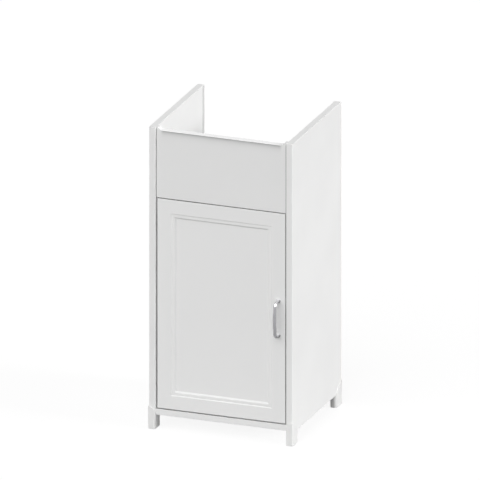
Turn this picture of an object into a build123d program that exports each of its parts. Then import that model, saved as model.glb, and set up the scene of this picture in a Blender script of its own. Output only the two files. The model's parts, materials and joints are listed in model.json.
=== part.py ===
from build123d import *
from math import cos, pi
import os

os.makedirs("parts", exist_ok=True)

# Cabinet: X runs to the right, Y to the back, Z up, all in millimetres
width = 400.0
depth = 360.0
side_height = 800.0
side_board = 18.0
board = 16.0
setback = 4.0            # apron, door and bottom board stand this far behind the side edges
side_edge_radius = 2.5
board_edge_radius = 1.0
apron_edge_radius = 2.5

# Corner feet
foot_height = 35.5
foot_length = 39.4
shoe_wall = 2.5
shoe_rise = 29.0         # how far the shoe climbs the outer corner of the side panel
shoe_low_left = 16.5     # the same at the inner edge of the left and of the right side panel
shoe_low_right = 25.0
shoe_front_bulge = 1.5
shoe_cheek_bulge = 5.0
foot_skin = 4.0
foot_plate = 5.0
foot_rib = 2.0
foot_corner_radius = 3.5
foot_bottom_radius = 2.2
foot_screw_inset = 12.2   # screws from both ends of the foot

# Boards across the cabinet
bottom_lift = 4.0        # bottom board above the lower edge of the side panels
apron_height = 194.0
scoop_depth = 7.0
scoop_land = 6.0
scoop_run = 8.0
scoop_radius = 5.0
trim_head = 1.6
trim_overhang = 1.0
trim_stem = 1.8
trim_stem_depth = 6.0
cut_spare = 10.0         # how far a cutting shape reaches past the board
rail_height = 90.0
upper_rail_drop = 148.0  # top of the upper rear rail below the top of the cabinet
wall_hole_radius = 3.0
wall_hole_spacing = 300.0
rear_strip_width = 12.0
rear_strip_thick = 1.0
shelf_lift = 262.0       # shelf underside above the bottom board
shelf_depth = 260.0
shelf_side_gap = 1.0
shelf_front_gap = 28.0   # shelf behind the back of the door

# Door
door_gap_side = 3.5
door_gap_top = 3.2
door_gap_bottom = 3.4
door_edge_radius = 1.5
frame_width = 38.2
quirk_depth = 1.9
fillet_band = 8.6
field_depth = 5.8
cove_run = 5.4
cove_radius = 2.0

# Bow handle
hole_spacing = 96.0
handle_inset = 19.5      # hole line from the right edge of the door
handle_reach = 31.0
handle_mid_width = 9.5
handle_end_width = 8.5
handle_mid_thick = 6.0
handle_end_thick = 5.5
handle_bow = 3.0         # the bar swells forwards this much between its bends
handle_bend_radius = 9.0
handle_foot_radius = 6.0
handle_foot_height = 7.0
handle_neck_radius = 3.6
handle_screw_radius = 2.0
handle_screw_bite = 9.0
handle_screw_spare = 1.0  # blind hole beyond the tip of the screw
handle_washer_radius = 5.5
handle_washer_height = 2.2

# Cam, bolt and dowel fixings
cam_radius = 7.5
cam_height = 12.0
cam_reach = 34.0
cam_slot = 1.6
cam_slot_length = 7.5
cam_slot_depth = 2.0
cam_throat_play = 0.1
bolt_thread_radius = 2.5
bolt_bite = 11.0
bolt_hole_radius = 4.0
bolt_head_radius = 3.2
bolt_head_length = 3.0
dowel_radius = 4.0
dowel_in_board = 19.0
dowel_in_side = 11.0
fixing_inset = 45.0
fixing_pitch = 32.0
fit = 0.05               # radial play of pressed and screwed pieces

# Wood screws
screw_radius = 2.0
screw_head_radius = 3.6
screw_head_height = 2.2
foot_screw_bite = 22.0
plate_screw_bite = 13.0
cup_screw_bite = 11.0

# Shelf pins
pin_radius = 2.5
pin_bite = 9.0
pin_collar_radius = 4.0
pin_collar = 0.8
pin_tongue_length = 8.0
pin_tongue_width = 7.0
pin_tongue_thick = 2.5
pin_inset = 40.0

# Door stops on the right side panel
stop_width = 12.0
stop_depth = 20.0
stop_height = 32.0
stop_inset = 60.0
bumper_radius = 4.0
bumper_height = 2.0
bumper_round = 1.0
bumper_gap = 0.3

# Concealed hinges: pivots measured from the left edge and the front of the door
hinge_inset = 90.0
arm_long_x = 32.3
arm_long_y = 8.1
cup_long_x = 10.3
cup_long_y = 7.3
arm_short_x = 14.7
arm_short_y = 9.2
cup_short_x = 20.7
cup_short_y = 17.0
cup_radius = 17.4
cup_depth = 12.0
cup_edge = 4.0           # rim of the cup from the edge of the door
cup_skin = 1.0
cup_floor = 0.8
cup_flange = 1.0
cup_flange_radius = 19.0
cup_screw_offset = 9.5
cup_screw_spacing = 48.0
cup_ear_radius = 6.0
pivot_radius = 1.3
stub_radius = 1.1
link_radius = 2.0
nose_radius = 2.5
link_room = 5.0          # free space in the arm round the links
pivot_fit = 0.05
pin_fit = 0.025          # radial play of pins riveted into the arm and the cup
open_pivot_play = 0.3    # play of the pivot where the linkage is left open
long_link_half = 2.5
layer_gap = 0.3
ear_thick = 1.4
short_link_thick = 1.4
cheek_thick = 1.4
stem_reach = 33.0        # arm from the door front to its crank
crank_reach = 46.0
arm_length = 92.0
arm_web = 1.4
arm_skirt = 6.0
arm_screw_radius = 2.2
arm_screw_head = 3.6
arm_screw_head_height = 2.0
arm_screw_bite = 6.0
adjusting_screw_reach = 56.0
clamping_screw_reach = 80.0
plate_height = 9.0
plate_thick = 1.8
plate_wing = 22.0
plate_wing_length = 18.0
plate_corner_radius = 4.5
plate_line = 60.0        # screw line from the front edge of the side panel
plate_screw_spacing = 32.0
plate_lead = 2.0

# Planes that the pieces share
top_z = foot_height + side_height
inner_half = width / 2 - side_board
left_inner = -inner_half
front_y = (handle_reach - setback - depth - shoe_wall) / 2
rear_y = front_y + depth
face_y = front_y + setback
bottom_z = foot_height + bottom_lift
bottom_top_z = bottom_z + board
apron_bottom_z = top_z - apron_height
scoop_z = top_z - scoop_depth
door_bottom_z = bottom_top_z + door_gap_bottom
door_top_z = apron_bottom_z - door_gap_top
door_left = left_inner + door_gap_side
door_right = inner_half - door_gap_side
door_back_y = face_y + board
upper_rail_top_z = top_z - upper_rail_drop
upper_rail_z = upper_rail_top_z - rail_height
lower_rail_top_z = bottom_top_z + rail_height
rail_y = rear_y - board
shelf_z = bottom_top_z + shelf_lift
shelf_y = door_back_y + shelf_front_gap
handle_x = door_right - handle_inset
handle_z = (door_bottom_z + door_top_z) / 2
stop_y = door_back_y + bumper_gap + bumper_height
hinge_levels = {
    "upper": door_top_z - hinge_inset,
    "lower": door_bottom_z + hinge_inset,
}
stop_levels = (door_top_z - stop_inset, door_bottom_z + stop_inset)


def block(low, high, mode=Mode.ADD):
    # a box between two corners
    size = [abs(b - a) for a, b in zip(low, high)]
    centre = [(a + b) / 2 for a, b in zip(low, high)]
    with Locations(tuple(centre)):
        Box(*size, mode=mode)


def peg(start, direction, radius, length, mode=Mode.ADD):
    # a round bar or hole that runs from a point along a direction
    with Locations(Plane(origin=start, z_dir=direction)):
        Cylinder(radius, length, align=(Align.CENTER, Align.CENTER, Align.MIN), mode=mode)


def save(piece, name):
    piece.part.label = name
    export_step(piece.part, f"parts/{name}.step")


# Fixings along each board: (y, z) of the bolt axis, the same at both ends
to_back = Vector(0, 1, 0)
to_floor = Vector(0, 0, -1)
apron_mid_y = face_y + board / 2
rail_mid_y = rear_y - board / 2
bottom_mid_z = bottom_z + board / 2
apron_cams = [
    (apron_mid_y, apron_bottom_z + fixing_inset),
    (apron_mid_y, scoop_z - fixing_inset),
]
apron_dowels = [
    (apron_mid_y, apron_bottom_z + fixing_inset - fixing_pitch),
    (apron_mid_y, scoop_z - fixing_inset - fixing_pitch),
]
upper_rail_cams = [(rail_mid_y, upper_rail_top_z - rail_height / 2 - fixing_pitch / 2)]
upper_rail_dowels = [(rail_mid_y, upper_rail_top_z - rail_height / 2 + fixing_pitch / 2)]
lower_rail_cams = [(rail_mid_y, lower_rail_top_z - rail_height / 2 + fixing_pitch / 2)]
lower_rail_dowels = [(rail_mid_y, lower_rail_top_z - rail_height / 2 - fixing_pitch / 2)]
bottom_cams = [
    (face_y + fixing_inset, bottom_mid_z),
    (rear_y - fixing_inset - fixing_pitch, bottom_mid_z),
]
bottom_dowels = [
    (face_y + fixing_inset + fixing_pitch, bottom_mid_z),
    (rear_y - fixing_inset - 2 * fixing_pitch, bottom_mid_z),
]
back_cams = [*apron_cams, *upper_rail_cams, *lower_rail_cams]
all_cams = [(y, z, to_back) for y, z in back_cams] + [(y, z, to_floor) for y, z in bottom_cams]
all_dowels = [*apron_dowels, *upper_rail_dowels, *lower_rail_dowels, *bottom_dowels]


def drill_board(cams, dowels, facing):
    # bolt holes and dowel holes in both ends of a board, and the cam pockets in its hidden face
    for end in (-1, 1):
        for y, z in cams:
            peg((end * inner_half, y, z), (-end, 0, 0), bolt_hole_radius, cam_reach, Mode.SUBTRACT)
            mouth = Vector(end * (inner_half - cam_reach), y, z) + facing * (board / 2)
            peg(mouth, -facing, cam_radius + fit, cam_height, Mode.SUBTRACT)
        for y, z in dowels:
            peg((end * inner_half, y, z), (-end, 0, 0), dowel_radius + fit, dowel_in_board, Mode.SUBTRACT)


# Shelf pin, foot and stop positions
shelf_pin_points = [
    (end, y)
    for end in (-1, 1)
    for y in (shelf_y + pin_inset, shelf_y + shelf_depth - pin_inset)
]
foot_corners = {
    "foot_front_left": (-1, -1),
    "foot_front_right": (1, -1),
    "foot_rear_left": (-1, 1),
    "foot_rear_right": (1, 1),
}


def foot_screw_points(x_side, y_side):
    # one screw in each half of the hollow foot, on the middle of the side panel
    x = x_side * (width / 2 - side_board / 2)
    panel_y = rear_y if y_side > 0 else front_y
    outer_y = panel_y + y_side * shoe_wall
    inner_y = panel_y - y_side * foot_length
    return [(x, outer_y - y_side * foot_screw_inset), (x, inner_y + y_side * foot_screw_inset)]


# Side panels
for x_side, side_name in ((-1, "left_side_panel"), (1, "right_side_panel")):
    with BuildPart() as side_panel:
        block((x_side * inner_half, front_y, foot_height), (x_side * width / 2, rear_y, top_z))
        front_edges = side_panel.edges().filter_by(Axis.Z).group_by(Axis.Y)[0]
        fillet(front_edges, side_edge_radius)
        fillet(side_panel.faces().sort_by(Axis.Z)[-1].edges(), board_edge_radius)
        for y, z, facing in all_cams:
            start = (x_side * inner_half, y, z)
            peg(start, (x_side, 0, 0), bolt_thread_radius + fit, bolt_bite, Mode.SUBTRACT)
        for y, z in all_dowels:
            start = (x_side * inner_half, y, z)
            peg(start, (x_side, 0, 0), dowel_radius + fit, dowel_in_side, Mode.SUBTRACT)
        for end, y in shelf_pin_points:
            if end == x_side:
                pin_z = shelf_z - pin_tongue_thick / 2
                peg((end * inner_half, y, pin_z), (end, 0, 0), pin_radius + fit, pin_bite, Mode.SUBTRACT)
        for corner_x, corner_y in foot_corners.values():
            if corner_x == x_side:
                for x, y in foot_screw_points(corner_x, corner_y):
                    peg((x, y, foot_height), (0, 0, 1), screw_radius + fit, foot_screw_bite, Mode.SUBTRACT)
        if x_side < 0:
            for level in hinge_levels.values():
                for z in (level - plate_screw_spacing / 2, level + plate_screw_spacing / 2):
                    start = (left_inner, front_y + plate_line, z)
                    peg(start, (-1, 0, 0), screw_radius + fit, plate_screw_bite, Mode.SUBTRACT)
        else:
            for level in stop_levels:
                start = (inner_half, stop_y + stop_depth / 2, level)
                peg(start, (1, 0, 0), screw_radius + fit, plate_screw_bite, Mode.SUBTRACT)
    save(side_panel, side_name)

# Bottom board
with BuildPart() as bottom_board:
    block((-inner_half, face_y, bottom_z), (inner_half, rear_y, bottom_top_z))
    fillet(bottom_board.edges().filter_by(Axis.X).group_by(Axis.Y)[0], board_edge_radius)
    drill_board(bottom_cams, bottom_dowels, to_floor)
save(bottom_board, "bottom_board")

# Apron: a fixed board with a shallow scoop along its top edge and a groove for the trim
scoop_half = inner_half - scoop_land
floor_half = scoop_half - scoop_run


def scoop_line(drop):
    # the scooped top edge, lowered by a drop, from left to right
    corners = [
        (-scoop_half, top_z - drop),
        (-floor_half, scoop_z - drop),
        (floor_half, scoop_z - drop),
        (scoop_half, top_z - drop),
    ]
    return FilletPolyline(*corners, radius=scoop_radius)


def scoop_band(upper_drop, lower_drop):
    # the strip between two copies of the scooped edge
    with BuildSketch(Plane.XZ.offset(-face_y)) as band:
        with BuildLine():
            upper = scoop_line(upper_drop)
            lower = scoop_line(lower_drop)
            Line(upper @ 0, lower @ 0)
            Line(upper @ 1, lower @ 1)
        make_face()
    return band.sketch


with BuildPart() as apron_panel:
    block((-inner_half, face_y, apron_bottom_z), (inner_half, door_back_y, top_z))
    fillet(apron_panel.edges().filter_by(Axis.Z).group_by(Axis.Y)[0], apron_edge_radius)
    with BuildSketch(Plane.XZ.offset(-face_y)):
        with BuildLine():
            edge = scoop_line(trim_head)
            Polyline(edge @ 0, (-scoop_half, top_z + cut_spare), (scoop_half, top_z + cut_spare), edge @ 1)
        make_face()
    extrude(amount=-board, mode=Mode.SUBTRACT)
    groove = scoop_band(0, trim_head + trim_stem_depth + fit)
    extrude(groove.moved(Location((0, (board - trim_stem) / 2, 0))), amount=-trim_stem, mode=Mode.SUBTRACT)
    drill_board(apron_cams, apron_dowels, to_back)
save(apron_panel, "apron_panel")

# Apron edge trim: a moulded strip whose stem is pressed into the groove
with BuildPart() as apron_edge_trim:
    head = scoop_band(0, trim_head)
    extrude(head.moved(Location((0, -trim_overhang, 0))), amount=-(board + 2 * trim_overhang))
    stem = scoop_band(trim_head, trim_head + trim_stem_depth)
    extrude(stem.moved(Location((0, (board - trim_stem) / 2, 0))), amount=-trim_stem)
save(apron_edge_trim, "apron_edge_trim")

# Rear rails: the upper one takes the wall screws
with BuildPart() as rear_upper_rail:
    block((-inner_half, rail_y, upper_rail_z), (inner_half, rear_y, upper_rail_top_z))
    drill_board(upper_rail_cams, upper_rail_dowels, to_back)
    for x in (-wall_hole_spacing / 2, wall_hole_spacing / 2):
        peg((x, rail_y, upper_rail_z + rail_height / 2), (0, 1, 0), wall_hole_radius, board, Mode.SUBTRACT)
save(rear_upper_rail, "rear_upper_rail")

with BuildPart() as rear_lower_rail:
    block((-inner_half, rail_y, bottom_top_z), (inner_half, rear_y, lower_rail_top_z))
    drill_board(lower_rail_cams, lower_rail_dowels, to_back)
save(rear_lower_rail, "rear_lower_rail")

# Rear strips: a thin cover strip along the rear edge of each side panel's inner face, above the upper rail
with BuildPart() as rear_strips:
    for end in (-1, 1):
        block(
            (end * inner_half, rear_y - rear_strip_width, upper_rail_top_z),
            (end * (inner_half - rear_strip_thick), rear_y - board_edge_radius, top_z - board_edge_radius),
        )
save(rear_strips, "rear_strips")

# Shelf and its pins
shelf_half = inner_half - shelf_side_gap
with BuildPart() as shelf:
    block((-shelf_half, shelf_y, shelf_z), (shelf_half, shelf_y + shelf_depth, shelf_z + board))
    fillet(shelf.edges().filter_by(Axis.X).group_by(Axis.Y)[0], board_edge_radius)
save(shelf, "shelf")

with BuildPart() as shelf_pins:
    for end, y in shelf_pin_points:
        pin_z = shelf_z - pin_tongue_thick / 2
        peg((end * inner_half, y, pin_z), (end, 0, 0), pin_radius, pin_bite)
        tongue_x = end * (inner_half - pin_collar - pin_tongue_length)
        block(
            (end * inner_half, y - pin_tongue_width / 2, shelf_z - pin_tongue_thick),
            (tongue_x, y + pin_tongue_width / 2, shelf_z),
        )
        collar_low = shelf_z - pin_tongue_thick / 2 - pin_collar_radius
        block(
            (end * inner_half, y - pin_tongue_width / 2, collar_low),
            (end * (inner_half - pin_collar), y + pin_tongue_width / 2, shelf_z),
        )
save(shelf_pins, "shelf_pins")

# Corner feet: a hollow moulded block under the side panel with a shoe that wraps its outer corner
for foot_name, (x_side, y_side) in foot_corners.items():
    panel_x = x_side * width / 2
    outer_x = panel_x + x_side * shoe_wall
    inner_x = x_side * inner_half
    panel_y = rear_y if y_side > 0 else front_y
    outer_y = panel_y + y_side * shoe_wall
    inner_y = panel_y - y_side * foot_length
    shoe_low = shoe_low_right if x_side > 0 else shoe_low_left
    high_z = foot_height + shoe_rise
    cut_z = high_z + cut_spare
    with BuildPart() as foot:
        block((outer_x, outer_y, 0), (inner_x, inner_y, high_z))
        fillet(foot.edges().filter_by(Axis.Z), foot_corner_radius)
        fillet(foot.faces().sort_by(Axis.Z)[0].edges(), foot_bottom_radius)
        block((panel_x, panel_y, foot_height), (inner_x, inner_y, cut_z), Mode.SUBTRACT)
        with BuildSketch(Plane.XZ.offset(-max(panel_y, outer_y))):
            high = (outer_x, high_z)
            low = (inner_x, foot_height + shoe_low)
            crown = ((outer_x + inner_x) / 2, foot_height + (shoe_rise + shoe_low) / 2 + shoe_front_bulge)
            with BuildLine():
                ThreePointArc(high, crown, low)
                Polyline(low, (inner_x, cut_z), (outer_x, cut_z), high)
            make_face()
        extrude(amount=shoe_wall, mode=Mode.SUBTRACT)
        with BuildSketch(Plane.YZ.offset(min(panel_x, outer_x))):
            high = (outer_y, high_z)
            low = (inner_y, foot_height)
            crown = ((outer_y + inner_y) / 2, foot_height + shoe_rise / 2 + shoe_cheek_bulge)
            with BuildLine():
                ThreePointArc(high, crown, low)
                Polyline(low, (inner_y, cut_z), (outer_y, cut_z), high)
            make_face()
        extrude(amount=shoe_wall, mode=Mode.SUBTRACT)
        hollow_top = foot_height - foot_plate
        block(
            (outer_x - x_side * foot_skin, outer_y - y_side * foot_skin, 0),
            (inner_x + x_side * foot_skin, inner_y + y_side * foot_skin, hollow_top),
            Mode.SUBTRACT,
        )
        rib_y = (outer_y + inner_y) / 2
        block(
            (outer_x - x_side * shoe_wall, rib_y - foot_rib / 2, 0),
            (inner_x + x_side * shoe_wall, rib_y + foot_rib / 2, hollow_top),
        )
        for x, y in foot_screw_points(x_side, y_side):
            peg((x, y, hollow_top), (0, 0, 1), screw_radius + fit, foot_plate, Mode.SUBTRACT)
    save(foot, foot_name)

with BuildPart() as foot_screws:
    for x_side, y_side in foot_corners.values():
        for x, y in foot_screw_points(x_side, y_side):
            plate_z = foot_height - foot_plate
            peg((x, y, plate_z), (0, 0, -1), screw_head_radius, screw_head_height)
            peg((x, y, plate_z), (0, 0, 1), screw_radius, foot_plate + foot_screw_bite)
save(foot_screws, "foot_screws")

# Cam locks, their bolts and the dowels
with BuildPart() as cam_locks:
    for end in (-1, 1):
        for y, z, facing in all_cams:
            centre = Vector(end * (inner_half - cam_reach), y, z)
            mouth = centre + facing * (board / 2)
            peg(mouth, -facing, cam_radius, cam_height)
            bolt_side = centre + Vector(end * (cam_radius + fit), 0, 0)
            reach = cam_radius + bolt_head_length
            peg(bolt_side, (-end, 0, 0), bolt_head_radius + cam_throat_play, reach, Mode.SUBTRACT)
            with Locations(Plane(origin=mouth, z_dir=facing)):
                Box(cam_slot_length, cam_slot, 2 * cam_slot_depth, mode=Mode.SUBTRACT)
save(cam_locks, "cam_locks")

with BuildPart() as cam_bolts:
    for end in (-1, 1):
        for y, z, facing in all_cams:
            joint = (end * inner_half, y, z)
            peg(joint, (end, 0, 0), bolt_thread_radius, bolt_bite)
            peg(joint, (-end, 0, 0), bolt_thread_radius, cam_reach)
            head = (end * (inner_half - cam_reach + bolt_head_length), y, z)
            peg(head, (-end, 0, 0), bolt_head_radius, bolt_head_length)
save(cam_bolts, "cam_bolts")

with BuildPart() as wood_dowels:
    for end in (-1, 1):
        for y, z in all_dowels:
            start = (end * (inner_half - dowel_in_board), y, z)
            peg(start, (end, 0, 0), dowel_radius, dowel_in_board + dowel_in_side)
save(wood_dowels, "wood_dowels")

# Door stops: blocks on the right side panel with a soft bumper each
stop_x = inner_half - stop_width
with BuildPart() as door_stops:
    for level in stop_levels:
        low_z = level - stop_height / 2
        block((stop_x, stop_y, low_z), (inner_half, stop_y + stop_depth, low_z + stop_height))
    fillet(door_stops.edges().filter_by(Axis.Z).group_by(Axis.X)[0], board_edge_radius)
    for level in stop_levels:
        start = (stop_x, stop_y + stop_depth / 2, level)
        peg(start, (1, 0, 0), screw_radius + fit, stop_width, Mode.SUBTRACT)
save(door_stops, "door_stops")

with BuildPart() as door_stop_screws:
    for level in stop_levels:
        start = (stop_x, stop_y + stop_depth / 2, level)
        peg(start, (-1, 0, 0), screw_head_radius, screw_head_height)
        peg(start, (1, 0, 0), screw_radius, stop_width + plate_screw_bite)
save(door_stop_screws, "door_stop_screws")

with BuildPart() as door_bumpers:
    for level in stop_levels:
        peg((stop_x + stop_width / 2, stop_y, level), (0, -1, 0), bumper_radius, bumper_height)
    fillet(door_bumpers.faces().group_by(Axis.Y)[0].edges(), bumper_round)
save(door_bumpers, "door_bumpers")

# Hinge layers, from the middle outwards: long link, cup ears, short link plates, arm cheeks
ear_low = long_link_half + layer_gap
ear_high = ear_low + ear_thick
short_low = ear_high + layer_gap
short_high = short_low + short_link_thick
cheek_low = short_high + layer_gap
cheek_high = cheek_low + cheek_thick


def from_door(x, y):
    # a point measured from the left edge and the front of the door
    return (door_left + x, face_y + y)


arm_long = from_door(arm_long_x, arm_long_y)
cup_long = from_door(cup_long_x, cup_long_y)
arm_short = from_door(arm_short_x, arm_short_y)
cup_short = from_door(cup_short_x, cup_short_y)
cup_x = door_left + cup_edge + cup_radius
cup_floor_y = door_back_y - cup_depth + cup_floor
cup_screw_x = cup_x + cup_screw_offset
crank_front = (arm_long[0], face_y + stem_reach)
crank_back = (left_inner + plate_height, face_y + crank_reach)
arm_end_y = face_y + arm_length
web_x = left_inner + plate_height + arm_web
arm_screw_lines = (face_y + adjusting_screw_reach, face_y + clamping_screw_reach)


def bar_outline(start, finish, radius):
    # a flat bar with round ends
    with BuildSketch() as outline:
        with Locations(start, finish):
            Circle(radius)
        make_hull()
    return outline.sketch


def arm_outline():
    # side view of the hinge arm: nose, stem, crank and the channel over the mounting plate
    with BuildSketch() as outline:
        add(bar_outline(arm_short, arm_long, nose_radius))
        add(bar_outline(arm_long, crank_front, nose_radius))
        add(bar_outline(crank_front, crank_back, nose_radius))
        with Locations(((left_inner + arm_skirt + web_x) / 2, (crank_back[1] + arm_end_y) / 2)):
            Rectangle(web_x - left_inner - arm_skirt, arm_end_y - crank_back[1])
    return outline.sketch


def at_level(outline, height):
    return outline.moved(Location((0, 0, height)))


for level_name, level in hinge_levels.items():
    # Mounting plate: two wings on the side panel and a ridge for the arm
    with BuildPart() as hinge_plate:
        plate_y = front_y + plate_line
        block(
            (left_inner, plate_y - plate_wing_length / 2, level - plate_wing),
            (left_inner + plate_thick, plate_y + plate_wing_length / 2, level + plate_wing),
        )
        fillet(hinge_plate.edges().filter_by(Axis.X), plate_corner_radius)
        ridge_half = cheek_low - layer_gap
        block(
            (left_inner, crank_back[1] + plate_lead, level - ridge_half),
            (left_inner + plate_height, arm_end_y + plate_lead, level + ridge_half),
        )
        for z in (level - plate_screw_spacing / 2, level + plate_screw_spacing / 2):
            peg((left_inner, plate_y, z), (1, 0, 0), screw_radius + fit, plate_thick, Mode.SUBTRACT)
        for y in arm_screw_lines:
            start = (left_inner + plate_height, y, level)
            peg(start, (-1, 0, 0), arm_screw_radius + fit, arm_screw_bite, Mode.SUBTRACT)
    save(hinge_plate, f"hinge_plate_{level_name}")

    # Arm: a bent channel, open towards the side panel and open all round the links
    with BuildPart() as hinge_arm:
        extrude(at_level(arm_outline(), level - cheek_high), amount=2 * cheek_high)
        inside = arm_outline().moved(Location((-arm_web, -arm_web, 0)))
        extrude(at_level(inside, level - cheek_low), amount=2 * cheek_low, mode=Mode.SUBTRACT)
        block(
            (left_inner, face_y, level - cheek_low),
            (arm_long[0] + link_room, cup_short[1] + link_room, level + cheek_low),
            Mode.SUBTRACT,
        )
        block(
            (left_inner, crank_back[1], level - cheek_low),
            (left_inner + plate_height, arm_end_y, level + cheek_low),
            Mode.SUBTRACT,
        )
        peg((*arm_long, level - cheek_high), (0, 0, 1), pivot_radius + pin_fit, 2 * cheek_high, Mode.SUBTRACT)
        peg((*arm_short, level - cheek_high), (0, 0, 1), stub_radius + pin_fit, 2 * cheek_high, Mode.SUBTRACT)
        for y in arm_screw_lines:
            peg((web_x, y, level), (-1, 0, 0), arm_screw_radius + fit, arm_web, Mode.SUBTRACT)
    save(hinge_arm, f"hinge_arm_{level_name}")

    # Long link, between the arm and the cup in the middle layer
    with BuildPart() as hinge_long_link:
        link = bar_outline(arm_long, cup_long, link_radius)
        extrude(at_level(link, level - long_link_half), amount=2 * long_link_half)
        for pivot in (arm_long, cup_long):
            start = (*pivot, level - long_link_half)
            peg(start, (0, 0, 1), pivot_radius + pivot_fit, 2 * long_link_half, Mode.SUBTRACT)
    save(hinge_long_link, f"hinge_long_link_{level_name}")

    # Short link: a plate on each side of the cup ears
    with BuildPart() as hinge_short_link:
        link = bar_outline(arm_short, cup_short, link_radius)
        for plate_z in (level + short_low, level - short_high):
            extrude(at_level(link, plate_z), amount=short_link_thick)
            peg((*arm_short, plate_z), (0, 0, 1), stub_radius + pivot_fit, short_link_thick, Mode.SUBTRACT)
            loose = stub_radius + open_pivot_play
            peg((*cup_short, plate_z), (0, 0, 1), loose, short_link_thick, Mode.SUBTRACT)
    save(hinge_short_link, f"hinge_short_link_{level_name}")

    # Cup: a drawn bowl in the door with a flange for its screws and two ears for the links
    with BuildPart() as hinge_cup:
        peg((cup_x, door_back_y, level), (0, -1, 0), cup_radius, cup_depth)
        with BuildSketch(Plane.XZ.offset(-door_back_y)):
            with Locations((cup_x, level)):
                Circle(cup_flange_radius)
            with Locations((cup_screw_x, level)):
                with GridLocations(0, cup_screw_spacing, 1, 2):
                    Circle(cup_ear_radius)
            make_hull()
        extrude(amount=-cup_flange)
        bowl = (cup_x, door_back_y + cup_flange, level)
        peg(bowl, (0, -1, 0), cup_radius - cup_skin, cup_depth + cup_flange - cup_floor, Mode.SUBTRACT)
        for ear_z in (level + ear_low, level - ear_high):
            with BuildSketch(Plane.XY.offset(ear_z)):
                with Locations(cup_long, cup_short):
                    Circle(link_radius)
                with Locations((cup_long[0], cup_floor_y), (cup_short[0], cup_floor_y)):
                    Rectangle(2 * link_radius, cup_floor)
                make_hull()
            extrude(amount=ear_thick)
        peg((*cup_long, level - ear_high), (0, 0, 1), pivot_radius + pin_fit, 2 * ear_high, Mode.SUBTRACT)
        peg((*cup_short, level - ear_high), (0, 0, 1), stub_radius + pin_fit, 2 * ear_high, Mode.SUBTRACT)
        for z in (level - cup_screw_spacing / 2, level + cup_screw_spacing / 2):
            start = (cup_screw_x, door_back_y, z)
            peg(start, (0, 1, 0), screw_radius + fit, cup_flange, Mode.SUBTRACT)
    save(hinge_cup, f"hinge_cup_{level_name}")

# Hinge pins and screws, one group for each body that carries them
with BuildPart() as hinge_arm_pins:
    for level in hinge_levels.values():
        peg((*arm_long, level - cheek_high), (0, 0, 1), pivot_radius, 2 * cheek_high)
        for stub_z in (level + short_low, level - cheek_high):
            peg((*arm_short, stub_z), (0, 0, 1), stub_radius, cheek_high - short_low)
save(hinge_arm_pins, "hinge_arm_pins")

with BuildPart() as hinge_cup_pins:
    for level in hinge_levels.values():
        peg((*cup_long, level - ear_high), (0, 0, 1), pivot_radius, 2 * ear_high)
        for stub_z in (level + ear_low, level - short_high):
            peg((*cup_short, stub_z), (0, 0, 1), stub_radius, short_high - ear_low)
save(hinge_cup_pins, "hinge_cup_pins")

with BuildPart() as hinge_plate_screws:
    for level in hinge_levels.values():
        for z in (level - plate_screw_spacing / 2, level + plate_screw_spacing / 2):
            start = (left_inner + plate_thick, front_y + plate_line, z)
            peg(start, (1, 0, 0), screw_head_radius, screw_head_height)
            peg(start, (-1, 0, 0), screw_radius, plate_thick + plate_screw_bite)
save(hinge_plate_screws, "hinge_plate_screws")

with BuildPart() as hinge_arm_screws:
    for level in hinge_levels.values():
        for y in arm_screw_lines:
            peg((web_x, y, level), (1, 0, 0), arm_screw_head, arm_screw_head_height)
            peg((web_x, y, level), (-1, 0, 0), arm_screw_radius, arm_web + arm_screw_bite)
save(hinge_arm_screws, "hinge_arm_screws")

with BuildPart() as hinge_cup_screws:
    for level in hinge_levels.values():
        for z in (level - cup_screw_spacing / 2, level + cup_screw_spacing / 2):
            start = (cup_screw_x, door_back_y + cup_flange, z)
            peg(start, (0, 1, 0), screw_head_radius, screw_head_height)
            peg(start, (0, -1, 0), screw_radius, cup_flange + cup_screw_bite)
save(hinge_cup_screws, "hinge_cup_screws")

# Door: a milled board with a stepped and coved moulding round a recessed field
door_width = door_right - door_left
door_height = door_top_z - door_bottom_z
door_x = (door_left + door_right) / 2
with BuildPart() as door_panel:
    block((door_left, face_y, door_bottom_z), (door_right, door_back_y, door_top_z))
    fillet(door_panel.faces().sort_by(Axis.Y)[0].edges(), door_edge_radius)
    with BuildSketch(Plane.XZ.offset(-face_y)):
        with Locations((door_x, handle_z)):
            Rectangle(door_width - 2 * frame_width, door_height - 2 * frame_width)
    extrude(amount=-quirk_depth, mode=Mode.SUBTRACT)
    inset = frame_width + fillet_band
    with BuildSketch(Plane.XZ.offset(-face_y - quirk_depth)):
        with Locations((door_x, handle_z)):
            Rectangle(door_width - 2 * inset, door_height - 2 * inset)
    with BuildSketch(Plane.XZ.offset(-face_y - field_depth)):
        with Locations((door_x, handle_z)):
            Rectangle(door_width - 2 * (inset + cove_run), door_height - 2 * (inset + cove_run))
    loft(mode=Mode.SUBTRACT)
    field_edges = door_panel.faces().filter_by(Axis.Y).group_by(Axis.Y)[2].edges()
    fillet(field_edges, cove_radius)
    for level in hinge_levels.values():
        peg((cup_x, door_back_y, level), (0, -1, 0), cup_radius + fit, cup_depth, Mode.SUBTRACT)
        for z in (level - cup_screw_spacing / 2, level + cup_screw_spacing / 2):
            start = (cup_screw_x, door_back_y, z)
            peg(start, (0, -1, 0), screw_radius + fit, cup_screw_bite, Mode.SUBTRACT)
    for z in (handle_z - hole_spacing / 2, handle_z + hole_spacing / 2):
        peg((handle_x, face_y, z), (0, 1, 0), handle_screw_radius + fit, board, Mode.SUBTRACT)
save(door_panel, "door_panel")

# Bow handle: a flattened bar that swells in the middle, bent into two flared feet
bar_y = face_y - handle_reach + handle_mid_thick / 2
bend_y = bar_y + handle_bow
half_spacing = hole_spacing / 2
half_bar = half_spacing - handle_bend_radius
neck_length = face_y - bend_y - handle_bend_radius
bar_stations = 5

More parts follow.
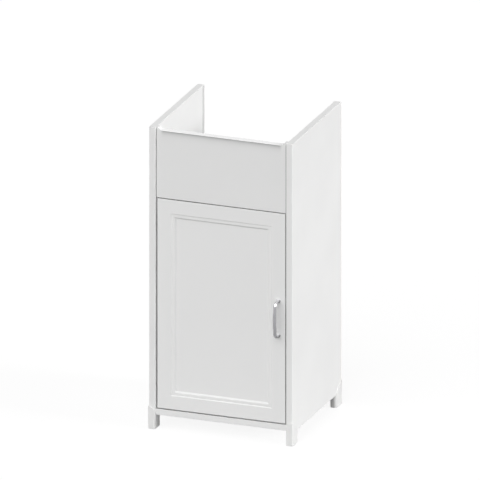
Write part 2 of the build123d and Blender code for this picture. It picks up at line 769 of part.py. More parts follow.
with BuildPart() as door_handle:
    # the bar: swell is 0 at its bends and 1 in its middle, with level ends
    for step in range(bar_stations):
        share = 2 * step / (bar_stations - 1) - 1
        swell = (1 + cos(pi * share)) / 2
        centre = (handle_x, bend_y - handle_bow * swell, handle_z + share * half_bar)
        with BuildSketch(Plane(origin=centre, x_dir=(1, 0, 0), z_dir=(0, 0, 1))):
            wide = handle_end_width + (handle_mid_width - handle_end_width) * swell
            thick = handle_end_thick + (handle_mid_thick - handle_end_thick) * swell
            Ellipse(wide / 2, thick / 2)
    loft()
    for end in (-1, 1):
        hole_z = handle_z + end * half_spacing
        neck = Plane(origin=(handle_x, face_y, hole_z), x_dir=(1, 0, 0), z_dir=(0, -1, 0))
        with BuildSketch(neck):
            Ellipse(handle_end_width / 2, handle_end_thick / 2)
        extrude(amount=neck_length)
        with BuildLine(Plane.YZ.offset(handle_x)) as bend:
            RadiusArc(
                (bend_y + handle_bend_radius, hole_z),
                (bend_y, hole_z - end * handle_bend_radius),
                -end * handle_bend_radius,
            )
        with BuildSketch(neck.offset(neck_length)):
            Ellipse(handle_end_width / 2, handle_end_thick / 2)
        sweep(path=bend.wire())
        with Locations(neck):
            Cone(
                handle_foot_radius,
                handle_neck_radius,
                handle_foot_height,
                align=(Align.CENTER, Align.CENTER, Align.MIN),
            )
        thread = handle_screw_radius + fit
        peg((handle_x, face_y, hole_z), (0, -1, 0), thread, handle_screw_bite, Mode.SUBTRACT)
save(door_handle, "door_handle")

with BuildPart() as handle_screws:
    for z in (handle_z - half_spacing, handle_z + half_spacing):
        peg((handle_x, door_back_y, z), (0, 1, 0), handle_washer_radius, handle_washer_height)
        shank = board + handle_screw_bite - handle_screw_spare
        peg((handle_x, door_back_y, z), (0, -1, 0), handle_screw_radius, shank)
save(handle_screws, "handle_screws")
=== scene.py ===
import json
import math

import bpy
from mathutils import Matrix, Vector


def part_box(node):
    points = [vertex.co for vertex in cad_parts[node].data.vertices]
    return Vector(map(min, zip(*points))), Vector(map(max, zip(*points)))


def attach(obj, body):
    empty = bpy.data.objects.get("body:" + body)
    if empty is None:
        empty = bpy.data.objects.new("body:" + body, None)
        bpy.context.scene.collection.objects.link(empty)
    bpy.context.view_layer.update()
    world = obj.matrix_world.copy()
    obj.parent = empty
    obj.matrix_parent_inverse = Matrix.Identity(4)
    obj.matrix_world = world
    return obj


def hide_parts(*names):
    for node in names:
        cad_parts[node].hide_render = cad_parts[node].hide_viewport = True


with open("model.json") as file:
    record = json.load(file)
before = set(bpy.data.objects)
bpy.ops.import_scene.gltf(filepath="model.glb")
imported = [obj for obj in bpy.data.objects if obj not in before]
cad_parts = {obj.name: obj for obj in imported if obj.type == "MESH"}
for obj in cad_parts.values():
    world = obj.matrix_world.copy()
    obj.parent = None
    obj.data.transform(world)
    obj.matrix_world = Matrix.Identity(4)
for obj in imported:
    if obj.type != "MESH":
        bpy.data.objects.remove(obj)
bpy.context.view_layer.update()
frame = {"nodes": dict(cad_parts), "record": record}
scene = bpy.context.scene
scene.view_settings.view_transform = "Standard"
print("frame loaded,", len(frame["nodes"]), "nodes")

# corners of the pieces that others are set against, in metres
sideLow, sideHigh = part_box("right_side_panel")
doorLow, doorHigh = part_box("door_panel")
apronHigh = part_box("apron_panel")[1]
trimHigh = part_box("apron_edge_trim")[1]
near = 0.0001  # a point closer than this counts as lying on a plane


# selecting and editing

def clearSelection():
    bpy.ops.object.select_all(action="DESELECT")


def takeUp(piece):
    clearSelection()
    piece.select_set(True)
    bpy.context.view_layer.objects.active = piece


def startEdit(piece, kind="FACE"):
    takeUp(piece)
    bpy.ops.object.mode_set(mode="EDIT")
    bpy.ops.mesh.select_mode(type=kind)
    bpy.ops.mesh.select_all(action="DESELECT")


def endEdit():
    bpy.ops.object.mode_set(mode="OBJECT")


def pickFaces(piece, rule):
    startEdit(piece, "FACE")
    endEdit()
    for face in piece.data.polygons:
        face.select = rule(face.center, face.normal)
    bpy.ops.object.mode_set(mode="EDIT")


def pickEdges(piece, rule):
    startEdit(piece, "EDGE")
    endEdit()
    points = piece.data.vertices
    for edge in piece.data.edges:
        edge.select = rule(points[edge.vertices[0]].co, points[edge.vertices[1]].co)
    bpy.ops.object.mode_set(mode="EDIT")


def settle(piece):
    takeUp(piece)
    bpy.ops.object.transform_apply(location=True, rotation=True, scale=True)


def closeSeams(piece, distance):
    startEdit(piece)
    bpy.ops.mesh.select_all(action="SELECT")
    bpy.ops.mesh.remove_doubles(threshold=distance)
    bpy.ops.mesh.normals_make_consistent(inside=False)
    endEdit()


def applyModifiers(piece):
    takeUp(piece)
    for modifier in list(piece.modifiers):
        bpy.ops.object.modifier_apply(modifier=modifier.name)


def smoothByAngle(piece, degrees):
    takeUp(piece)
    bpy.ops.object.shade_smooth_by_angle(angle=math.radians(degrees))


def keepFlat(piece):
    # flat faces keep their own normal beside a rounded edge
    weigh = piece.modifiers.new("keepFlat", "WEIGHTED_NORMAL")
    weigh.keep_sharp = True
    applyModifiers(piece)


def addBlock(name, low, high):
    clearSelection()
    centre = [(a + b) / 2 for a, b in zip(low, high)]
    size = [b - a for a, b in zip(low, high)]
    bpy.ops.mesh.primitive_cube_add(size=1, location=centre, scale=size)
    piece = bpy.context.object
    piece.name = name
    settle(piece)
    return piece


def addRod(name, start, direction, radius, length, sides):
    clearSelection()
    heading = Vector(direction)
    middle = Vector(start) + heading * (length / 2)
    turn = Vector((0, 0, 1)).rotation_difference(heading).to_euler()
    bpy.ops.mesh.primitive_cylinder_add(
        vertices=sides, radius=radius, depth=length, location=middle, rotation=turn
    )
    piece = bpy.context.object
    piece.name = name
    settle(piece)
    return piece


def cutAway(piece, cutters):
    for cutter in cutters:
        cut = piece.modifiers.new("cut", "BOOLEAN")
        cut.operation = "DIFFERENCE"
        cut.object = cutter
    applyModifiers(piece)
    for cutter in cutters:
        bpy.data.objects.remove(cutter, do_unlink=True)


# shader helpers

def addNode(tree, kind, **values):
    node = tree.nodes.new(kind)
    for name, value in values.items():
        node.inputs[name].default_value = value
    return node


def calc(tree, operation, first, second=None):
    node = tree.nodes.new("ShaderNodeMath")
    node.operation = operation
    for socket, value in zip(node.inputs, (first, second)):
        if value is None:
            continue
        if isinstance(value, (int, float)):
            socket.default_value = value
        else:
            tree.links.new(value, socket)
    return node.outputs[0]


def spread(tree, value, low, high, toLow, toHigh):
    node = addNode(tree, "ShaderNodeMapRange")
    node.interpolation_type = "SMOOTHSTEP"
    for name, number in (("From Min", low), ("From Max", high), ("To Min", toLow), ("To Max", toHigh)):
        node.inputs[name].default_value = number
    tree.links.new(value, node.inputs["Value"])
    return node.outputs["Result"]


def blendTones(tree, amount, first, second, kind="MIX"):
    node = tree.nodes.new("ShaderNodeMix")
    node.data_type = "RGBA"
    node.blend_type = kind
    for index, value in ((0, amount), (6, first), (7, second)):
        if isinstance(value, (int, float)):
            node.inputs[index].default_value = value
        elif isinstance(value, tuple):
            node.inputs[index].default_value = (*value, 1.0)
        else:
            tree.links.new(value, node.inputs[index])
    return node.outputs[2]


def scaleTone(tree, tone, factor):
    return blendTones(tree, 1.0, tone, factor, "MULTIPLY")


def objectPlace(tree):
    # the point on the object, whole and split into its three axes
    place = addNode(tree, "ShaderNodeTexCoord").outputs["Object"]
    split = addNode(tree, "ShaderNodeSeparateXYZ")
    tree.links.new(place, split.inputs["Vector"])
    return place, split.outputs


def startGroup(name, inputs, outputs):
    group = bpy.data.node_groups.new(name, "ShaderNodeTree")
    for label, value in inputs.items():
        socket = group.interface.new_socket(name=label, in_out="INPUT", socket_type="NodeSocketFloat")
        socket.default_value = value
    for label in outputs:
        group.interface.new_socket(name=label, in_out="OUTPUT", socket_type="NodeSocketFloat")
    return group, group.nodes.new("NodeGroupInput"), group.nodes.new("NodeGroupOutput")


def noiseIn(tree, scaleSocket, coordinates, detail, roughness=0.5):
    noise = addNode(tree, "ShaderNodeTexNoise", Detail=detail, Roughness=roughness)
    tree.links.new(coordinates, noise.inputs["Vector"])
    if isinstance(scaleSocket, (int, float)):
        noise.inputs["Scale"].default_value = scaleSocket
    else:
        tree.links.new(scaleSocket, noise.inputs["Scale"])
    return noise.outputs["Fac"]


# pearl texture of pressed boards and moulded plastic: fine grain and slow drift
grainTexture = {"fineDetail": 2.0, "broadDetail": 3.0, "driftLow": 0.32, "driftHigh": 0.68}
grainGroup, grainIn, grainOut = startGroup(
    "pearlGrain", {"Fine Scale": 1200.0, "Broad Scale": 6.0}, ("Grain", "Drift")
)
grainPlace = addNode(grainGroup, "ShaderNodeTexCoord").outputs["Object"]
grainFine = noiseIn(
    grainGroup, grainIn.outputs["Fine Scale"], grainPlace, grainTexture["fineDetail"]
)
grainBroad = noiseIn(
    grainGroup, grainIn.outputs["Broad Scale"], grainPlace, grainTexture["broadDetail"]
)
grainDrift = spread(
    grainGroup, grainBroad, grainTexture["driftLow"], grainTexture["driftHigh"], 0.0, 1.0
)
grainGroup.links.new(grainFine, grainOut.inputs["Grain"])
grainGroup.links.new(grainDrift, grainOut.inputs["Drift"])

# faint marks of hands and cloths, as patches with soft rims
marksTexture = {"detail": 4.0, "roughness": 0.62, "rim": 0.18}
marksGroup, marksIn, marksOut = startGroup(
    "handMarks", {"Scale": 40.0, "Cover": 0.5}, ("Marks",)
)
marksPlace = addNode(marksGroup, "ShaderNodeTexCoord").outputs["Object"]
marksPatch = noiseIn(
    marksGroup, marksIn.outputs["Scale"], marksPlace, marksTexture["detail"], marksTexture["roughness"]
)
marksRise = calc(marksGroup, "SUBTRACT", marksPatch, marksIn.outputs["Cover"])
marksShown = spread(marksGroup, marksRise, 0.0, marksTexture["rim"], 0.0, 1.0)
marksGroup.links.new(marksShown, marksOut.inputs["Marks"])

# drawn or tumbled metal: lines stretched along the vertical
drawnTexture = {
    "lineScale": 900.0,
    "lineStretch": 0.08,
    "lineDetail": 2.0,
    "tarnishScale": 160.0,
    "tarnishDetail": 3.0,
    "tarnishLow": 0.35,
    "tarnishHigh": 0.7,
}
drawnGroup, drawnIn, drawnOut = startGroup(
    "drawnMetal",
    {"Scale": drawnTexture["lineScale"], "Stretch": drawnTexture["lineStretch"]},
    ("Lines", "Tarnish"),
)
drawnPlace = addNode(drawnGroup, "ShaderNodeTexCoord").outputs["Object"]
drawnStretch = addNode(drawnGroup, "ShaderNodeCombineXYZ", X=1.0, Y=1.0)
drawnGroup.links.new(drawnIn.outputs["Stretch"], drawnStretch.inputs["Z"])
drawnSpace = drawnGroup.nodes.new("ShaderNodeVectorMath")
drawnSpace.operation = "MULTIPLY"
drawnGroup.links.new(drawnPlace, drawnSpace.inputs[0])
drawnGroup.links.new(drawnStretch.outputs["Vector"], drawnSpace.inputs[1])
drawnLines = noiseIn(
    drawnGroup, drawnIn.outputs["Scale"], drawnSpace.outputs["Vector"], drawnTexture["lineDetail"]
)
drawnTarnish = noiseIn(
    drawnGroup, drawnTexture["tarnishScale"], drawnPlace, drawnTexture["tarnishDetail"]
)
drawnDull = spread(
    drawnGroup, drawnTarnish, drawnTexture["tarnishLow"], drawnTexture["tarnishHigh"], 0.0, 1.0
)
drawnGroup.links.new(drawnLines, drawnOut.inputs["Lines"])
drawnGroup.links.new(drawnDull, drawnOut.inputs["Tarnish"])


def placeGroup(tree, group, **values):
    node = tree.nodes.new("ShaderNodeGroup")
    node.node_tree = group
    for label, value in values.items():
        node.inputs[label.replace("_", " ")].default_value = value
    return node


def newFinish(name):
    finish = bpy.data.materials.new(name)
    finish.use_nodes = True
    return finish, finish.node_tree, finish.node_tree.nodes["Principled BSDF"]


def raiseBump(tree, shader, height, strength, distance):
    bump = addNode(tree, "ShaderNodeBump", Strength=strength, Distance=distance)
    tree.links.new(height, bump.inputs["Height"])
    tree.links.new(bump.outputs["Normal"], shader.inputs["Normal"])


def pearlSurface(tree, shader, look):
    # tone and roughness drift slowly, the grain is a shallow bump; gives back the tone
    grain = placeGroup(tree, grainGroup, Fine_Scale=look["fineScale"], Broad_Scale=look["broadScale"])
    tone = blendTones(tree, grain.outputs["Drift"], look["deepTone"], look["paleTone"])
    rough = spread(tree, grain.outputs["Drift"], 0.0, 1.0, look["roughest"], look["smoothest"])
    tree.links.new(rough, shader.inputs["Roughness"])
    shader.inputs["Specular IOR Level"].default_value = look["sheen"]
    raiseBump(tree, shader, grain.outputs["Grain"], look["bump"], look["relief"])
    return tone


# white melamine board with banded front edges and bare chipboard on the wall side

laminateLook = {
    "paleTone": (0.868, 0.868, 0.864),
    "deepTone": (0.848, 0.848, 0.845),
    "fineScale": 1100.0,
    "broadScale": 5.0,
    "roughest": 0.46,
    "smoothest": 0.38,
    "bump": 0.10,
    "relief": 0.00025,
    "sheen": 0.15,
    "bandDepth": 0.0010,      # thickness of the edge band
    "bandLine": 0.00012,      # width of its glue line
    "bandTone": (0.80, 0.80, 0.80),
    "insideLightPaint": 1.10,       # painted light: lifts the inner faces of the side panels to a paler tone
    "insideReach": 0.0002,    # how far into the board this tone goes
    "bareDepth": 0.0004,      # rim of the wall edge that shows its chipboard
    "chipPale": (0.66, 0.50, 0.33),
    "chipDeep": (0.36, 0.23, 0.13),
    "chipScale": 420.0,
    "chipContrast": 1.4,
}


def makeLaminate(name, frontEdge=None, wallEdge=None, innerFace=None):
    look = laminateLook
    finish, tree, shader = newFinish(name)
    tone = pearlSurface(tree, shader, look)
    place, axes = objectPlace(tree)
    if frontEdge is not None:
        fromLine = calc(tree, "SUBTRACT", axes["Y"], frontEdge + look["bandDepth"])
        line = calc(tree, "LESS_THAN", calc(tree, "ABSOLUTE", fromLine), look["bandLine"] / 2)
        tone = blendTones(tree, line, tone, look["bandTone"])
    # painted light: the inner faces of the side panels are lifted to a paler tone
    if innerFace is not None:
        inside = calc(tree, "LESS_THAN", calc(tree, "ABSOLUTE", axes["X"]), innerFace)
        tone = scaleTone(tree, tone, spread(tree, inside, 0.0, 1.0, 1.0, look["insideLightPaint"]))
    if wallEdge is not None:
        chips = addNode(tree, "ShaderNodeTexVoronoi", Scale=look["chipScale"])
        chips.feature = "F1"
        tree.links.new(place, chips.inputs["Vector"])
        chipMix = calc(tree, "MULTIPLY", chips.outputs["Distance"], look["chipContrast"])
        chipTone = blendTones(tree, chipMix, look["chipPale"], look["chipDeep"])
        bare = calc(tree, "GREATER_THAN", axes["Y"], wallEdge)
        tone = blendTones(tree, bare, tone, chipTone)
    tree.links.new(tone, shader.inputs["Base Color"])
    return finish


# apron board: the same melamine, with painted shade under its scooped edge and in its two end joints

apronLook = {
    **laminateLook,
    "paleTone": (0.848, 0.848, 0.845),
    "deepTone": (0.836, 0.836, 0.833),
    "scoopDrop": 0.0086,     # scoop and trim head below the top of the board
    "shadeReach": 0.0060,
    "shadeDepth": 0.52,
    "shadeFade": 0.010,      # the shade fades out over this width at the lands
    "jointReach": 0.0036,    # shade in the rounded joints beside the side panels
    "leftDepth": 0.74,
    "rightDepth": 1.0,
    "jointTop": 0.011,       # the joint shade fades out towards the top of the board
}


def makeApron(name):
    look = apronLook
    finish, tree, shader = newFinish(name)
    tone = pearlSurface(tree, shader, look)
    axes = objectPlace(tree)[1]
    scoopZ = apronHigh.z - look["scoopDrop"]
    # painted shade: a soft shadow falling off below the scoop, and darkening in the joints at both
    # ends
    below = calc(tree, "SUBTRACT", scoopZ, axes["Z"])
    fall = calc(tree, "EXPONENT", calc(tree, "DIVIDE", below, -look["shadeReach"]))
    side = calc(tree, "ABSOLUTE", axes["X"])
    edge = trimHigh.x - look["shadeFade"] / 2
    ends = spread(tree, side, edge - look["shadeFade"], edge, 1.0, 0.0)
    depth = calc(tree, "MULTIPLY", ends, look["shadeDepth"])
    shade = calc(tree, "MULTIPLY", calc(tree, "MINIMUM", fall, 1.0), depth)
    start = apronHigh.x - look["jointReach"]
    right = spread(tree, axes["X"], start, apronHigh.x, 0.0, look["rightDepth"])
    left = spread(tree, axes["X"], -apronHigh.x, -start, look["leftDepth"], 0.0)
    topFade = spread(tree, axes["Z"], apronHigh.z - look["jointTop"], apronHigh.z, 1.0, 0.0)
    jointShade = calc(tree, "MULTIPLY", calc(tree, "MAXIMUM", left, right), topFade)
    unshaded = calc(tree, "SUBTRACT", 1.0, shade)
    bright = calc(tree, "MULTIPLY", unshaded, calc(tree, "SUBTRACT", 1.0, jointShade))
    tone = scaleTone(tree, tone, bright)
    tree.links.new(tone, shader.inputs["Base Color"])
    return finish


# white foil over the milled door, a little smoother than the boards

doorLook = {
    "paleTone": (0.868, 0.868, 0.864),
    "deepTone": (0.861, 0.861, 0.858),
    "fineScale": 800.0,
    "broadScale": 4.0,
    "roughest": 0.25,
    "smoothest": 0.22,
    "bump": 0.06,
    "relief": 0.0003,
    "sheen": 0.20,
    "gapShadeTone": 0.52,         # share of the tone kept on the edges: painted shade standing in for the shade in the gaps round the door
    "edgeStart": 0.0016,      # the painted shade starts behind the rounded front
    "marksScale": 28.0,
    "marksCover": 0.56,
    "marksTone": 0.995,
}


def makeDoorFoil(name):
    look = doorLook
    finish, tree, shader = newFinish(name)
    tone = pearlSurface(tree, shader, look)
    marks = placeGroup(tree, marksGroup, Scale=look["marksScale"], Cover=look["marksCover"])
    dim = spread(tree, marks.outputs["Marks"], 0.0, 1.0, 1.0, look["marksTone"])
    tone = scaleTone(tree, tone, dim)
    axes = objectPlace(tree)[1]
    middle = (doorLow + doorHigh) / 2
    half = (doorHigh - doorLow) / 2
    # painted shade: the door's edges behind its rounded front are darkened, as shade in the gaps
    across = calc(tree, "ABSOLUTE", calc(tree, "SUBTRACT", axes["X"], middle.x))
    upwards = calc(tree, "ABSOLUTE", calc(tree, "SUBTRACT", axes["Z"], middle.z))
    atSide = calc(tree, "GREATER_THAN", across, half.x - near)
    atEnd = calc(tree, "GREATER_THAN", upwards, half.z - near)
    outside = calc(tree, "MAXIMUM", atSide, atEnd)
    behind = calc(tree, "GREATER_THAN", axes["Y"], doorLow.y + look["edgeStart"])
    edge = calc(tree, "MULTIPLY", calc(tree, "MULTIPLY", outside, behind), 1.0 - look["gapShadeTone"])
    tone = scaleTone(tree, tone, calc(tree, "SUBTRACT", 1.0, edge))
    tree.links.new(tone, shader.inputs["Base Color"])
    return finish


# moulded pieces: satin feet, stops and rear strips, a glossy edge trim and rubber bumpers

footLook = {
    "paleTone": (0.868, 0.868, 0.862),
    "deepTone": (0.846, 0.846, 0.840),
    "fineScale": 1900.0,
    "broadScale": 30.0,
    "roughest": 0.52,
    "smoothest": 0.42,
    "bump": 0.12,
    "relief": 0.0002,
    "sheen": 0.20,
}
trimLook = {
    "paleTone": (0.990, 0.990, 0.990),
    "deepTone": (0.978, 0.978, 0.978),
    "fineScale": 300.0,
    "broadScale": 20.0,
    "roughest": 0.20,
    "smoothest": 0.12,
    "bump": 0.03,
    "relief": 0.0003,
    "sheen": 0.50,
}
stripLook = {
    "paleTone": (0.745, 0.745, 0.742),
    "deepTone": (0.725, 0.725, 0.722),
    "fineScale": 1400.0,
    "broadScale": 25.0,
    "roughest": 0.50,
    "smoothest": 0.40,
    "bump": 0.08,
    "relief": 0.0002,
    "sheen": 0.25,
}
bumperLook = {
    "paleTone": (0.74, 0.74, 0.72),
    "deepTone": (0.66, 0.66, 0.64),
    "fineScale": 1500.0,
    "broadScale": 180.0,
    "roughest": 0.60,
    "smoothest": 0.45,
    "bump": 0.10,
    "relief": 0.0001,
    "sheen": 0.40,
}


def makeMoulded(name, look, coat=0.0, coatRough=0.08):
    finish, tree, shader = newFinish(name)
    tree.links.new(pearlSurface(tree, shader, look), shader.inputs["Base Color"])
    shader.inputs["Coat Weight"].default_value = coat
    shader.inputs["Coat Roughness"].default_value = coatRough
    return finish


# metals

chromeLook = {
    # painted reflection: the base tones are kept dark, standing in for darker surroundings mirrored in
    # the chrome
    "paleTone": (0.42, 0.42, 0.435),
    "deepTone": (0.405, 0.405, 0.42),
    "smoothest": 0.09,
    "roughest": 0.13,
    "marksScale": 120.0,
    "marksCover": 0.50,
    "lowerReflectionDim": 0.74,        # painted reflection: darker towards the lower end of the bow
    "upperReflectionTone": (0.76, 0.76, 0.775),  # painted reflection: brighter on faces that are turned upwards
    "upperStart": 0.25,       # upward part of the normal
    "upperFull": 0.75,
}


def makeChrome(name):
    look = chromeLook
    finish, tree, shader = newFinish(name)
    shader.inputs["Metallic"].default_value = 1.0
    marks = placeGroup(tree, marksGroup, Scale=look["marksScale"], Cover=look["marksCover"])
    tone = blendTones(tree, marks.outputs["Marks"], look["paleTone"], look["deepTone"])
    axes = objectPlace(tree)[1]
    # painted reflection: darker towards the lower end of the bow, brighter where the normal turns
    # upwards
    low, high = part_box("door_handle")
    lowerDim = spread(tree, axes["Z"], low.z, high.z, look["lowerReflectionDim"], 1.0)
    tone = scaleTone(tree, tone, lowerDim)
    facing = addNode(tree, "ShaderNodeSeparateXYZ")
    normal = addNode(tree, "ShaderNodeNewGeometry").outputs["Normal"]
    tree.links.new(normal, facing.inputs["Vector"])
    lift = spread(tree, facing.outputs["Z"], look["upperStart"], look["upperFull"], 0.0, 1.0)
    tone = blendTones(tree, lift, tone, look["upperReflectionTone"])
    rough = spread(tree, marks.outputs["Marks"], 0.0, 1.0, look["smoothest"], look["roughest"])
    tree.links.new(tone, shader.inputs["Base Color"])
    tree.links.new(rough, shader.inputs["Roughness"])
    return finish


steelLooks = {
    "nickelPlate": {
        "paleTone": (0.60, 0.585, 0.55),
        "deepTone": (0.47, 0.455, 0.42),
        "smoothest": 0.20,
        "roughest": 0.34,
        "bump": 0.05,
    },
    "brightZinc": {
        "paleTone": (0.58, 0.59, 0.61),
        "deepTone": (0.45, 0.455, 0.46),
        "smoothest": 0.26,
        "roughest": 0.42,
        "bump": 0.08,
    },
    "castZinc": {
        "paleTone": (0.46, 0.46, 0.47),
        "deepTone": (0.34, 0.34, 0.35),
        "smoothest": 0.40,
        "roughest": 0.58,
        "bump": 0.25,
    },
}
steelLines = {"low": 0.3, "high": 0.7, "relief": 0.0002}


def makeSteel(name):
    look = steelLooks[name]
    finish, tree, shader = newFinish(name)
    shader.inputs["Metallic"].default_value = 1.0
    drawn = placeGroup(tree, drawnGroup)
    lines = drawn.outputs["Lines"]
    tone = blendTones(tree, drawn.outputs["Tarnish"], look["paleTone"], look["deepTone"])
    rough = spread(
        tree, lines, steelLines["low"], steelLines["high"], look["smoothest"], look["roughest"]
    )
    tree.links.new(tone, shader.inputs["Base Color"])
    tree.links.new(rough, shader.inputs["Roughness"])
    raiseBump(tree, shader, lines, look["bump"], steelLines["relief"])
    return finish


dowelLook = {
    "paleTone": (0.66, 0.47, 0.28),
    "deepTone": (0.50, 0.33, 0.18),
    "grainScale": 260.0,
    "grainStretch": (0.06, 1.0, 1.0),  # the grain runs along X
    "grainDetail": 4.0,
    "grainRoughness": 0.6,
    "toneSpan": (0.35, 0.65),
    "roughSpan": (0.3, 0.7),
    "smoothest": 0.55,
    "roughest": 0.72,
    "bump": 0.2,
    "relief": 0.0002,
}


def makeDowelWood(name):
    look = dowelLook
    finish, tree, shader = newFinish(name)
    place = addNode(tree, "ShaderNodeTexCoord").outputs["Object"]
    lie = addNode(tree, "ShaderNodeMapping", Scale=look["grainStretch"])
    tree.links.new(place, lie.inputs["Vector"])
    fibre = noiseIn(
        tree, look["grainScale"], lie.outputs["Vector"], look["grainDetail"], look["grainRoughness"]
    )
    streak = spread(tree, fibre, *look["toneSpan"], 0.0, 1.0)
    tone = blendTones(tree, streak, look["paleTone"], look["deepTone"])
    rough = spread(tree, fibre, *look["roughSpan"], look["smoothest"], look["roughest"])
    tree.links.new(tone, shader.inputs["Base Color"])
    tree.links.new(rough, shader.inputs["Roughness"])
    raiseBump(tree, shader, fibre, look["bump"], look["relief"])
    return finish


wallLine = sideHigh.y - laminateLook["bareDepth"]
innerLine = apronHigh.x + laminateLook["insideReach"]
finishes = {
    "white_laminate": makeLaminate("railLaminate"),
    "apron_laminate": makeApron("apronLaminate"),
    "door_foil": makeDoorFoil("doorFoil"),
    "white_edge_trim": makeMoulded("glossTrim", trimLook, 1.0),
    "foot_plastic": makeMoulded("footPlastic", footLook),
    "chrome": makeChrome("handleChrome"),
    "nickel_steel": makeSteel("nickelPlate"),
    "zinc_steel": makeSteel("brightZinc"),
    "cast_zinc": makeSteel("castZinc"),
    "dowel_wood": makeDowelWood("dowelBeech"),
    "clear_rubber": makeMoulded("bumperRubber", bumperLook),
}
boardFinishes = {
    "left_side_panel": makeLaminate("sideLaminate", sideLow.y, wallLine, innerLine),
    "bottom_board": makeLaminate("bottomLaminate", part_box("bottom_board")[0].y, wallLine),
    "shelf": makeLaminate("shelfLaminate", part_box("shelf")[0].y),
    "rear_strips": makeMoulded("stripPlastic", stripLook),
}
boardFinishes["right_side_panel"] = boardFinishes["left_side_panel"]

slotOfNode = {row["node"]: row["material_slot"] for row in frame["record"]["subparts"]}
for nodeName, nodeObject in frame["nodes"].items():
    finish = boardFinishes.get(nodeName, finishes[slotOfNode[nodeName]])
    nodeObject.data.materials.clear()
    nodeObject.data.materials.append(finish)
print("finishes set on", len(slotOfNode), "nodes")


def standIn(piece, name, node, body):
    # a finished piece takes the place, the body and the finish of a node
    piece.name = name
    piece.data.name = name
    piece.data.materials.clear()
    piece.data.materials.append(finishes[slotOfNode[node]])
    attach(piece, body)
    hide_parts(node)


# door: a milled slab with a quirk, a flat band and an ogee round the recessed field

doorShape = {
    "frameWidth": 0.0375,
    "quirkDepth": 0.0019,
    "quirkRun": 0.0020,
    "bandWidth": 0.0066,
    "fieldDepth": 0.0058,
    "ogeeRun": 0.0064,
    "ogeeSteps": 10,
    "edgeRound": 0.0015,
    "edgeSteps": 5,
    "frontCosine": 0.99,      # a face turned at least this far to the front is the front
    "cupRadius": 0.01745,
    "cupDepth": 0.0120,
    "cupFromEdge": 0.0214,
    "cupSides": 64,
    "spare": 0.001,           # the cutters start this far outside the board
    "smoothAngle": 32,
}


def makeDoor():
    shape = doorShape
    door = addBlock("milledDoor", doorLow, doorHigh)
    pickEdges(door, lambda a, b: a.y < doorLow.y + near and b.y < doorLow.y + near)
    bpy.ops.mesh.bevel(offset=shape["edgeRound"], segments=shape["edgeSteps"], affect="EDGES")
    endEdit()
    pickFaces(door, lambda centre, normal: normal.y < -shape["frontCosine"])
    bpy.ops.mesh.inset(thickness=shape["frameWidth"] - shape["edgeRound"], depth=0)
    bpy.ops.mesh.inset(thickness=shape["quirkRun"], depth=-shape["quirkDepth"])
    bpy.ops.mesh.inset(thickness=shape["bandWidth"], depth=0)
    drop = shape["fieldDepth"] - shape["quirkDepth"]
    run = shape["ogeeRun"] / shape["ogeeSteps"]
    for step in range(shape["ogeeSteps"]):
        before = (1 - math.cos(math.pi * step / shape["ogeeSteps"])) / 2
        after = (1 - math.cos(math.pi * (step + 1) / shape["ogeeSteps"])) / 2
        bpy.ops.mesh.inset(thickness=run, depth=-drop * (after - before))
    endEdit()
    cutters = []
    depth = shape["cupDepth"] + shape["spare"]
    for level in ("upper", "lower"):
        cupLow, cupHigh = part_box("hinge_cup_" + level)
        mouth = (
            doorLow.x + shape["cupFromEdge"], doorHigh.y + shape["spare"], (cupLow.z + cupHigh.z) / 2
        )
        cutter = addRod("cupCutter", mouth, (0, -1, 0), shape["cupRadius"], depth, shape["cupSides"])
        cutters.append(cutter)
    cutAway(door, cutters)
    smoothByAngle(door, shape["smoothAngle"])
    keepFlat(door)
    standIn(door, "milledDoor", "door_panel", "door")


makeDoor()
print("door made")


# bow handle: one tube grown from the upper foot, round both bends, to the lower foot

handleShape = {
    "holeSpacing": 0.096,
    "fromDoorEdge": 0.0195,
    "reach": 0.0305,
    "footRadius": 0.0060,
    "footLip": 0.0012,
    "footHeight": 0.0075,
    "footSteps": 7,
    "footEase": 0.8,          # below 1 the flare draws in sooner
    "endWidth": 0.0085,
    "endThick": 0.0055,
    "midWidth": 0.0095,
    "midThick": 0.0060,
    "bow": 0.0030,
    "bendRadius": 0.0130,
    "bendSteps": 18,
    "barSteps": 28,
    "sides": 40,
    "seam": 0.000005,         # points closer than this are joined
    "smoothAngle": 50,
}


def growRing(centre, move, stretch):
    # pushes the open end on, then scales it about its new centre
    bpy.ops.mesh.extrude_region_move(TRANSFORM_OT_translate={"value": tuple(move)})
    centre = centre + Vector(move)
    bpy.ops.transform.resize(value=tuple(stretch), center_override=tuple(centre))
    return centre


def growFoot(centre, rings):
    # each ring is a distance in front of the door and two scales of the foot's circle
    for before, after in zip(rings, rings[1:]):
        stretch = (after[1] / before[1], 1, after[2] / before[2])
        centre = growRing(centre, (0, before[0] - after[0], 0), stretch)
    return centre


